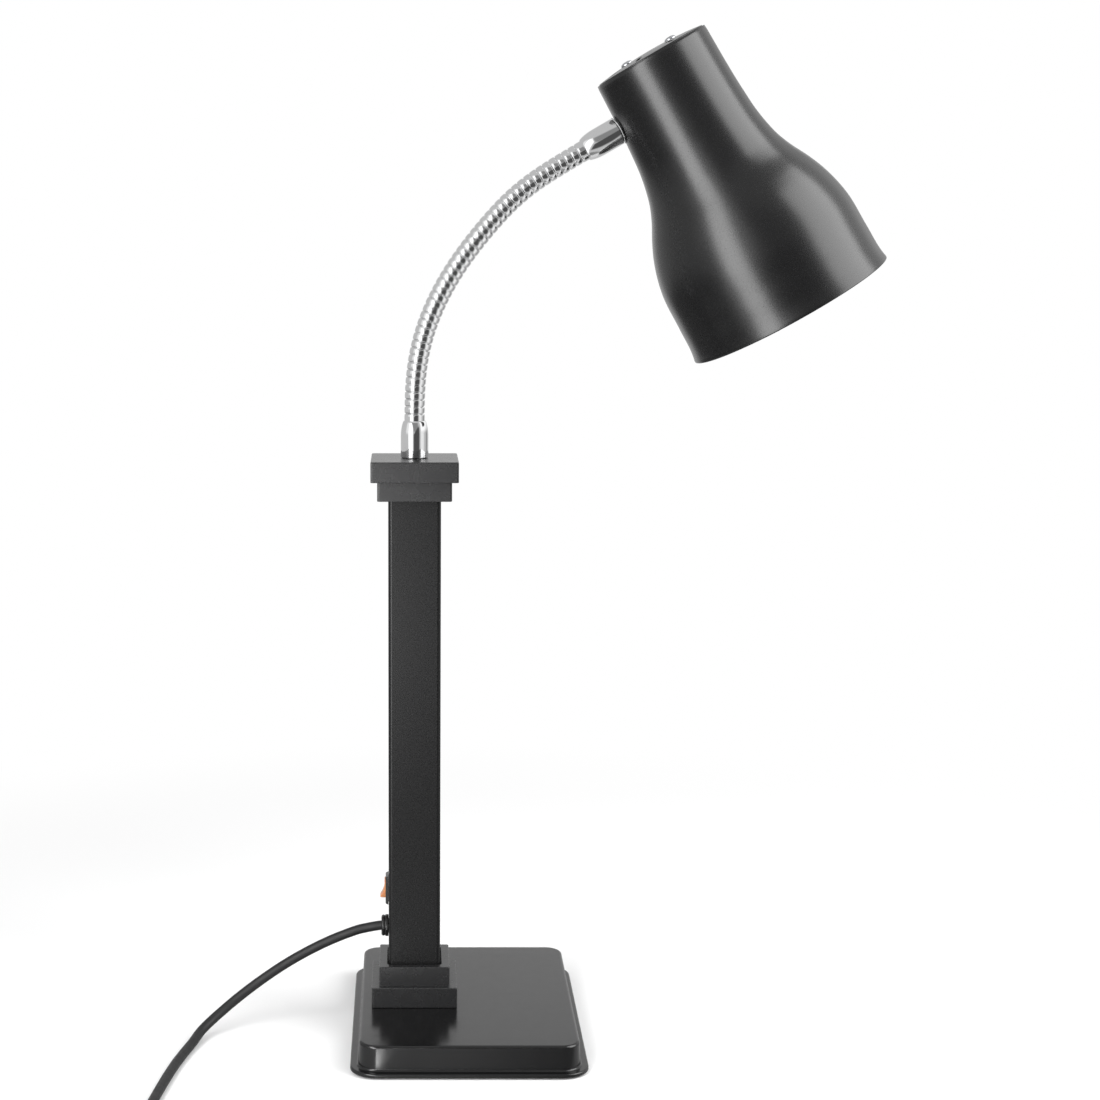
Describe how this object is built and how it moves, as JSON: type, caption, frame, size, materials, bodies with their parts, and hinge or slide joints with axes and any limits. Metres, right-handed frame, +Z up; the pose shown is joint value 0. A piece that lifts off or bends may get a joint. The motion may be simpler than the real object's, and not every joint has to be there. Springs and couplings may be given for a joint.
{
  "type": "heat lamp warmer",
  "caption": "Table-top heat lamp: weighted rectangular base, square post, flexible chromed neck and a flared black shade holding an infrared reflector lamp.",
  "frame": {"origin": "centre of the base at table height", "axes": "+X from the post towards the lamp head, +Z up, +Y across the base"},
  "size_m": [0.5593, 0.4193, 0.772],
  "materials": {
    "base_paint": "satin charcoal paint, semi-gloss",
    "black_coat": "fine-textured satin black powder coat",
    "black_moulding": "matte black moulding",
    "gloss_black": "gloss black nylon and PVC",
    "cord_pvc": "matt black flexible sheath",
    "foot_rubber": "matt rubber",
    "cast_iron": "bare cast iron",
    "zinc_steel": "zinc-plated steel",
    "chrome": "bright chrome plate",
    "brass": "plain brass",
    "amber_rocker": "translucent amber",
    "ceramic": "glazed ceramic, glass stem",
    "lamp_glass": "clear hard glass",
    "wire_brown": "brown core insulation",
    "wire_blue": "blue core insulation"
  },
  "bodies": {
    "stand": {"base_cover": "base_paint", "base_ballast": "cast_iron", "base_plate": "zinc_steel", "rubber_foot_1": "foot_rubber", "rubber_foot_2": "foot_rubber", "rubber_foot_3": "foot_rubber", "rubber_foot_4": "foot_rubber", "plate_screw_1": "zinc_steel", "plate_screw_2": "zinc_steel", "plate_screw_3": "zinc_steel", "plate_screw_4": "zinc_steel", "post_bolt_1": "zinc_steel", "post_bolt_2": "zinc_steel", "lower_collar": "black_moulding", "post_foot": "zinc_steel", "post_tube": "black_coat", "post_cap": "black_moulding", "switch_housing": "black_moulding", "switch_terminal_1": "brass", "switch_terminal_2": "brass", "cord_gland": "gloss_black", "gland_nut": "gloss_black", "power_cord": "cord_pvc", "plug_body": "gloss_black", "plug_pin_live": "brass", "plug_pin_neutral": "brass", "plug_pin_earth": "brass", "lead_live_in": "wire_brown", "lead_switched": "wire_brown", "lead_neutral": "wire_blue", "ferrule_lower": "chrome", "ferrule_nut_lower": "zinc_steel", "neck_link_00": "chrome"},
    "rocker": {"switch_rocker": "amber_rocker"},
    "neck_01": {"neck_link_01": "chrome"},
    "neck_02": {"neck_link_02": "chrome"},
    "neck_03": {"neck_link_03": "chrome"},
    "neck_04": {"neck_link_04": "chrome"},
    "neck_05": {"neck_link_05": "chrome"},
    "neck_06": {"neck_link_06": "chrome"},
    "neck_07": {"neck_link_07": "chrome"},
    "neck_08": {"neck_link_08": "chrome"},
    "neck_09": {"neck_link_09": "chrome"},
    "neck_10": {"neck_link_10": "chrome"},
    "neck_11": {"neck_link_11": "chrome"},
    "neck_12": {"neck_link_12": "chrome"},
    "head": {"neck_link_13": "chrome", "ferrule_upper": "chrome", "ferrule_washer": "chrome", "ferrule_nut_upper": "zinc_steel", "shade": "black_coat", "top_plate": "black_coat", "top_screw_1": "zinc_steel", "top_screw_2": "zinc_steel", "holder_bracket": "zinc_steel", "lamp_holder": "ceramic"},
    "lamp": {"lamp_cap": "brass", "lamp_bulb": "lamp_glass", "lamp_filament": "ceramic"}
  },
  "joints": [
    {"name": "neck_bend", "type": "hinge", "parent": "stand", "child": "neck_01", "pos_m": [-0.0408, 0, 0.48679], "axis": [0, 1, 0], "range_deg": [-6.67, 5]},
    {"name": "neck_sway", "type": "hinge", "parent": "neck_01", "child": "neck_02", "pos_m": [-0.04018, 0, 0.50617], "axis": [0.9971, 0, -0.0765], "range_deg": [-10, 10]},
    {"name": "neck_bend_03", "type": "hinge", "parent": "neck_02", "child": "neck_03", "pos_m": [-0.03784, 0, 0.52541], "axis": [0, 1, 0], "range_deg": [-6.67, 5]},
    {"name": "neck_bend_04", "type": "hinge", "parent": "neck_03", "child": "neck_04", "pos_m": [-0.03326, 0, 0.54425], "axis": [0, 1, 0], "range_deg": [-6.67, 5]},
    {"name": "neck_sway_05", "type": "hinge", "parent": "neck_04", "child": "neck_05", "pos_m": [-0.0264, 0, 0.56238], "axis": [0.915, 0, -0.4034], "range_deg": [-10, 10]},
    {"name": "neck_bend_06", "type": "hinge", "parent": "neck_05", "child": "neck_06", "pos_m": [-0.01764, 0, 0.57967], "axis": [0, 1, 0], "range_deg": [-6.67, 5]},
    {"name": "neck_bend_07", "type": "hinge", "parent": "neck_06", "child": "neck_07", "pos_m": [-0.00734, 0, 0.59609], "axis": [0, 1, 0], "range_deg": [-6.67, 5]},
    {"name": "neck_sway_08", "type": "hinge", "parent": "neck_07", "child": "neck_08", "pos_m": [0.0042, 0, 0.61167], "axis": [0.7861, 0, -0.6181], "range_deg": [-10, 10]},
    {"name": "neck_bend_09", "type": "hinge", "parent": "neck_08", "child": "neck_09", "pos_m": [0.01661, 0, 0.62656], "axis": [0, 1, 0], "range_deg": [-6.67, 5]},
    {"name": "neck_bend_10", "type": "hinge", "parent": "neck_09", "child": "neck_10", "pos_m": [0.0298, 0, 0.64076], "axis": [0, 1, 0], "range_deg": [-6.67, 5]},
    {"name": "neck_sway_11", "type": "hinge", "parent": "neck_10", "child": "neck_11", "pos_m": [0.04453, 0, 0.65336], "axis": [0.6033, 0, -0.7975], "range_deg": [-10, 10]},
    {"name": "neck_bend_12", "type": "hinge", "parent": "neck_11", "child": "neck_12", "pos_m": [0.06066, 0, 0.66411], "axis": [0, 1, 0], "range_deg": [-6.67, 5]},
    {"name": "neck_bend_13", "type": "hinge", "parent": "neck_12", "child": "head", "pos_m": [0.0773, 0, 0.67406], "axis": [0, 1, 0], "range_deg": [-6.67, 5]},
    {"name": "switch_rock", "type": "hinge", "parent": "stand", "child": "rocker", "pos_m": [-0.0614, 0, 0.1097], "axis": [0, 1, 0], "range_deg": [-24, 0]},
    {"name": "lamp_screw", "type": "hinge", "parent": "head", "child": "lamp", "pos_m": [0.16273, 0, 0.69763], "axis": [0.5, 0, -0.866], "range_deg": [0, 1260]}
  ],
  "couplings": [
    {"joint": "neck_bend_03", "follows": "neck_bend", "ratio": 1},
    {"joint": "neck_bend_04", "follows": "neck_bend", "ratio": 1},
    {"joint": "neck_sway_05", "follows": "neck_sway", "ratio": 1},
    {"joint": "neck_bend_06", "follows": "neck_bend", "ratio": 1},
    {"joint": "neck_bend_07", "follows": "neck_bend", "ratio": 1},
    {"joint": "neck_sway_08", "follows": "neck_sway", "ratio": 1},
    {"joint": "neck_bend_09", "follows": "neck_bend", "ratio": 1},
    {"joint": "neck_bend_10", "follows": "neck_bend", "ratio": 1},
    {"joint": "neck_sway_11", "follows": "neck_sway", "ratio": 1},
    {"joint": "neck_bend_12", "follows": "neck_bend", "ratio": 1},
    {"joint": "neck_bend_13", "follows": "neck_bend", "ratio": 1}
  ]
}
